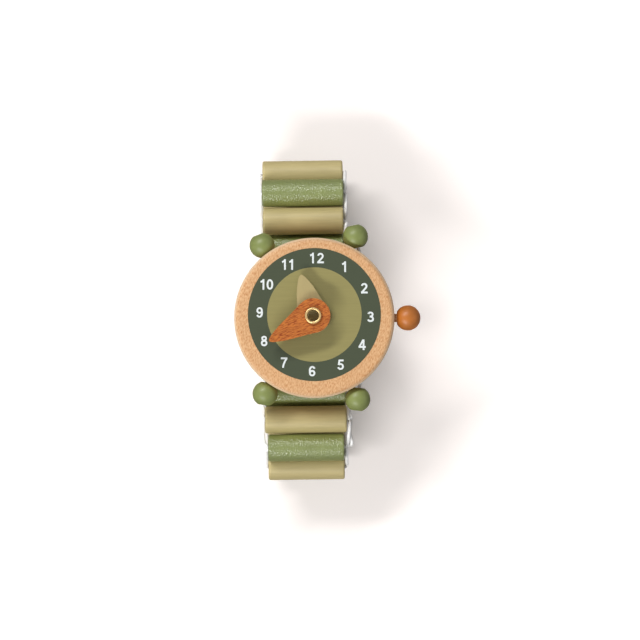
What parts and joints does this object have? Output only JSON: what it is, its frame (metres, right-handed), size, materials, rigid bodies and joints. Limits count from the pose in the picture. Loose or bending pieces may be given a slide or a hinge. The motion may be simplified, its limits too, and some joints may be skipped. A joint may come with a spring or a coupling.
{
  "type": "toy watch",
  "caption": "Wooden toy wristwatch: round case, two turning hands on a brass eyelet, ball crown, corner beads, and a folding strap of painted rods strung on elastic.",
  "frame": {"origin": "on the hands' axis, in the plane of the dial (the case's top face)", "axes": "+Z out of the dial along the eyelet, +Y towards 12 o'clock along the strap, +X towards the crown at 3 o'clock"},
  "size_m": [0.0442, 0.0768, 0.0341],
  "materials": {
    "beech": "fine sanded beech with a clear satin coat",
    "ring_print": "printed matt ink, dark grey-green",
    "disc_print": "printed matt ink, olive",
    "brass": "bright stamped brass",
    "fibre": "plain fibre washer",
    "tan_hand": "painted wood, pale olive-tan, satin",
    "orange_hand": "stained wood, orange-rust, grain showing",
    "crown_paint": "painted wood, orange-brown, semi-gloss",
    "peg": "stained dowel",
    "green_paint": "painted wood, sage green, semi-gloss",
    "khaki_paint": "painted wood, khaki, semi-gloss",
    "elastic": "white round elastic, braided cover"
  },
  "bodies": {
    "case": {"case": "beech", "dial_ring": "ring_print", "dial_disc": "disc_print", "eyelet": "brass", "spacer": "fibre", "slip_washer": "fibre", "back_washer": "brass", "elastic_case": "elastic"},
    "hour_hand": {"hour_hand": "tan_hand"},
    "minute_hand": {"minute_hand": "orange_hand"},
    "crown": {"crown_ball": "crown_paint", "crown_peg": "peg"},
    "bead_top_left": {"bead_top_left": "green_paint"},
    "bead_top_right": {"bead_top_right": "green_paint"},
    "bead_bottom_left": {"bead_bottom_left": "green_paint"},
    "bead_bottom_right": {"bead_bottom_right": "green_paint"},
    "link_top_1": {"rod_top_1": "green_paint", "elastic_top_1": "elastic"},
    "link_top_2": {"rod_top_2": "khaki_paint", "elastic_top_2": "elastic"},
    "link_top_3": {"rod_top_3": "green_paint", "elastic_top_3": "elastic"},
    "link_top_4": {"rod_top_4": "khaki_paint", "elastic_top_4": "elastic"},
    "link_top_5": {"rod_top_5": "green_paint", "elastic_top_5": "elastic"},
    "link_top_6": {"rod_top_6": "khaki_paint", "elastic_top_6": "elastic"},
    "link_top_7": {"rod_top_7": "green_paint", "elastic_top_7": "elastic"},
    "link_top_8": {"rod_top_8": "khaki_paint", "elastic_top_8": "elastic"},
    "link_top_9": {"rod_top_9": "green_paint", "elastic_top_9": "elastic"},
    "link_centre": {"rod_centre": "khaki_paint", "elastic_centre": "elastic"},
    "link_bottom_9": {"rod_bottom_9": "green_paint", "elastic_bottom_9": "elastic"},
    "link_bottom_8": {"rod_bottom_8": "khaki_paint", "elastic_bottom_8": "elastic"},
    "link_bottom_7": {"rod_bottom_7": "green_paint", "elastic_bottom_7": "elastic"},
    "link_bottom_6": {"rod_bottom_6": "khaki_paint", "elastic_bottom_6": "elastic"},
    "link_bottom_5": {"rod_bottom_5": "green_paint", "elastic_bottom_5": "elastic"},
    "link_bottom_4": {"rod_bottom_4": "khaki_paint", "elastic_bottom_4": "elastic"},
    "link_bottom_3": {"rod_bottom_3": "green_paint", "elastic_bottom_3": "elastic"},
    "link_bottom_2": {"rod_bottom_2": "khaki_paint", "elastic_bottom_2": "elastic"},
    "link_bottom_1": {"rod_bottom_1": "green_paint", "elastic_bottom_1": "elastic"}
  },
  "joints": [
    {"name": "hour_hand_turn", "type": "hinge", "parent": "case", "child": "hour_hand", "pos_m": [0, 0, 0.0018], "axis": [0, 0, 1], "continuous": true},
    {"name": "minute_hand_turn", "type": "hinge", "parent": "case", "child": "minute_hand", "pos_m": [0, 0, 0.0037], "axis": [0, 0, 1], "continuous": true},
    {"name": "crown_turn", "type": "hinge", "parent": "case", "child": "crown", "pos_m": [0.0193, -0.00055, -0.004], "axis": [1, 0, 0], "continuous": true},
    {"name": "bead_top_left_spin", "type": "hinge", "parent": "case", "child": "bead_top_left", "pos_m": [-0.0121, 0.01664, -0.004], "axis": [-0.3539, 0.9353, 0], "continuous": true},
    {"name": "bead_top_right_spin", "type": "hinge", "parent": "case", "child": "bead_top_right", "pos_m": [0.01005, 0.01875, -0.004], "axis": [-0.2108, 0.9775, 0], "continuous": true},
    {"name": "bead_bottom_left_spin", "type": "hinge", "parent": "case", "child": "bead_bottom_left", "pos_m": [-0.01139, -0.01856, -0.004], "axis": [-0.1518, -0.9884, 0], "continuous": true},
    {"name": "bead_bottom_right_spin", "type": "hinge", "parent": "case", "child": "bead_bottom_right", "pos_m": [0.01061, -0.01985, -0.004], "axis": [-0.1187, -0.9929, 0], "continuous": true},
    {"name": "strap_fold_top_1", "type": "hinge", "parent": "case", "child": "link_top_1", "pos_m": [-0.0023, 0.01645, -0.0083], "axis": [0.9999, 0.014, 0], "range_deg": [-10.68, 0]},
    {"name": "strap_fold_top_2", "type": "hinge", "parent": "link_top_1", "child": "link_top_2", "pos_m": [-0.00234, 0.01954, -0.01315], "axis": [0.9999, 0.014, 0], "range_deg": [-8.79, 0]},
    {"name": "strap_fold_top_3", "type": "hinge", "parent": "link_top_2", "child": "link_top_3", "pos_m": [-0.00243, 0.02597, -0.01185], "axis": [0.9999, 0.014, 0], "range_deg": [0, 4.74]},
    {"name": "strap_fold_top_4", "type": "hinge", "parent": "link_top_3", "child": "link_top_4", "pos_m": [-0.00251, 0.03161, -0.0143], "axis": [0.9999, 0.014, 0], "range_deg": [0, 12.8], "stiffness_Nm_per_rad": 0.004},
    {"name": "strap_fold_top_5", "type": "hinge", "parent": "link_top_4", "child": "link_top_5", "pos_m": [-0.00252, 0.03291, -0.01995], "axis": [0.9999, 0.014, 0], "range_deg": [0, 12.33]},
    {"name": "strap_fold_top_6", "type": "hinge", "parent": "link_top_5", "child": "link_top_6", "pos_m": [-0.00247, 0.02881, -0.02438], "axis": [0.9999, 0.014, 0], "range_deg": [0, 7.94]},
    {"name": "strap_fold_top_7", "type": "hinge", "parent": "link_top_6", "child": "link_top_7", "pos_m": [-0.00238, 0.02235, -0.02561], "axis": [0.9999, 0.014, 0], "range_deg": [-4.58, 0]},
    {"name": "strap_fold_top_8", "type": "hinge", "parent": "link_top_7", "child": "link_top_8", "pos_m": [-0.00228, 0.01565, -0.02561], "axis": [0.9999, 0.014, 0], "range_deg": [-4.58, 0]},
    {"name": "strap_fold_top_9", "type": "hinge", "parent": "link_top_8", "child": "link_top_9", "pos_m": [-0.00219, 0.00895, -0.02561], "axis": [0.9999, 0.014, 0], "range_deg": [-4.58, 0]},
    {"name": "strap_fold_top_10", "type": "hinge", "parent": "link_top_9", "child": "link_centre", "pos_m": [-0.0021, 0.00225, -0.02561], "axis": [0.9999, 0.014, 0], "range_deg": [-4.58, 0]},
    {"name": "strap_fold_bottom_1", "type": "hinge", "parent": "case", "child": "link_bottom_1", "pos_m": [-0.0018, -0.01865, -0.0083], "axis": [0.9999, 0.014, 0], "range_deg": [0, 10.68]},
    {"name": "strap_fold_bottom_2", "type": "hinge", "parent": "link_bottom_1", "child": "link_bottom_2", "pos_m": [-0.00176, -0.02174, -0.01315], "axis": [0.9999, 0.014, 0], "range_deg": [0, 8.79]},
    {"name": "strap_fold_bottom_3", "type": "hinge", "parent": "link_bottom_2", "child": "link_bottom_3", "pos_m": [-0.00167, -0.02817, -0.01185], "axis": [0.9999, 0.014, 0], "range_deg": [-4.74, 0]},
    {"name": "strap_fold_bottom_4", "type": "hinge", "parent": "link_bottom_3", "child": "link_bottom_4", "pos_m": [-0.00159, -0.03381, -0.0143], "axis": [0.9999, 0.014, 0], "range_deg": [-12.8, 0]},
    {"name": "strap_fold_bottom_5", "type": "hinge", "parent": "link_bottom_4", "child": "link_bottom_5", "pos_m": [-0.00158, -0.03511, -0.01995], "axis": [0.9999, 0.014, 0], "range_deg": [-12.33, 0]},
    {"name": "strap_fold_bottom_6", "type": "hinge", "parent": "link_bottom_5", "child": "link_bottom_6", "pos_m": [-0.00163, -0.03101, -0.02438], "axis": [0.9999, 0.014, 0], "range_deg": [-7.94, 0]},
    {"name": "strap_fold_bottom_7", "type": "hinge", "parent": "link_bottom_6", "child": "link_bottom_7", "pos_m": [-0.00172, -0.02455, -0.02561], "axis": [0.9999, 0.014, 0], "range_deg": [0, 4.58]},
    {"name": "strap_fold_bottom_8", "type": "hinge", "parent": "link_bottom_7", "child": "link_bottom_8", "pos_m": [-0.00182, -0.01785, -0.02561], "axis": [0.9999, 0.014, 0], "range_deg": [0, 4.58]},
    {"name": "strap_fold_bottom_9", "type": "hinge", "parent": "link_bottom_8", "child": "link_bottom_9", "pos_m": [-0.00191, -0.01115, -0.02561], "axis": [0.9999, 0.014, 0], "range_deg": [0, 4.58]}
  ],
  "couplings": [
    {"joint": "strap_fold_top_1", "follows": "strap_fold_top_4", "ratio": -0.834},
    {"joint": "strap_fold_top_2", "follows": "strap_fold_top_4", "ratio": -0.687},
    {"joint": "strap_fold_top_3", "follows": "strap_fold_top_4", "ratio": 0.37},
    {"joint": "strap_fold_top_5", "follows": "strap_fold_top_4", "ratio": 0.963},
    {"joint": "strap_fold_top_6", "follows": "strap_fold_top_4", "ratio": 0.62},
    {"joint": "strap_fold_top_7", "follows": "strap_fold_top_4", "ratio": -0.358},
    {"joint": "strap_fold_top_8", "follows": "strap_fold_top_4", "ratio": -0.358},
    {"joint": "strap_fold_top_9", "follows": "strap_fold_top_4", "ratio": -0.358},
    {"joint": "strap_fold_top_10", "follows": "strap_fold_top_4", "ratio": -0.358},
    {"joint": "strap_fold_bottom_1", "follows": "strap_fold_top_4", "ratio": 0.834},
    {"joint": "strap_fold_bottom_2", "follows": "strap_fold_top_4", "ratio": 0.687},
    {"joint": "strap_fold_bottom_3", "follows": "strap_fold_top_4", "ratio": -0.37},
    {"joint": "strap_fold_bottom_4", "follows": "strap_fold_top_4", "ratio": -1},
    {"joint": "strap_fold_bottom_5", "follows": "strap_fold_top_4", "ratio": -0.963},
    {"joint": "strap_fold_bottom_6", "follows": "strap_fold_top_4", "ratio": -0.62},
    {"joint": "strap_fold_bottom_7", "follows": "strap_fold_top_4", "ratio": 0.358},
    {"joint": "strap_fold_bottom_8", "follows": "strap_fold_top_4", "ratio": 0.358},
    {"joint": "strap_fold_bottom_9", "follows": "strap_fold_top_4", "ratio": 0.358}
  ]
}
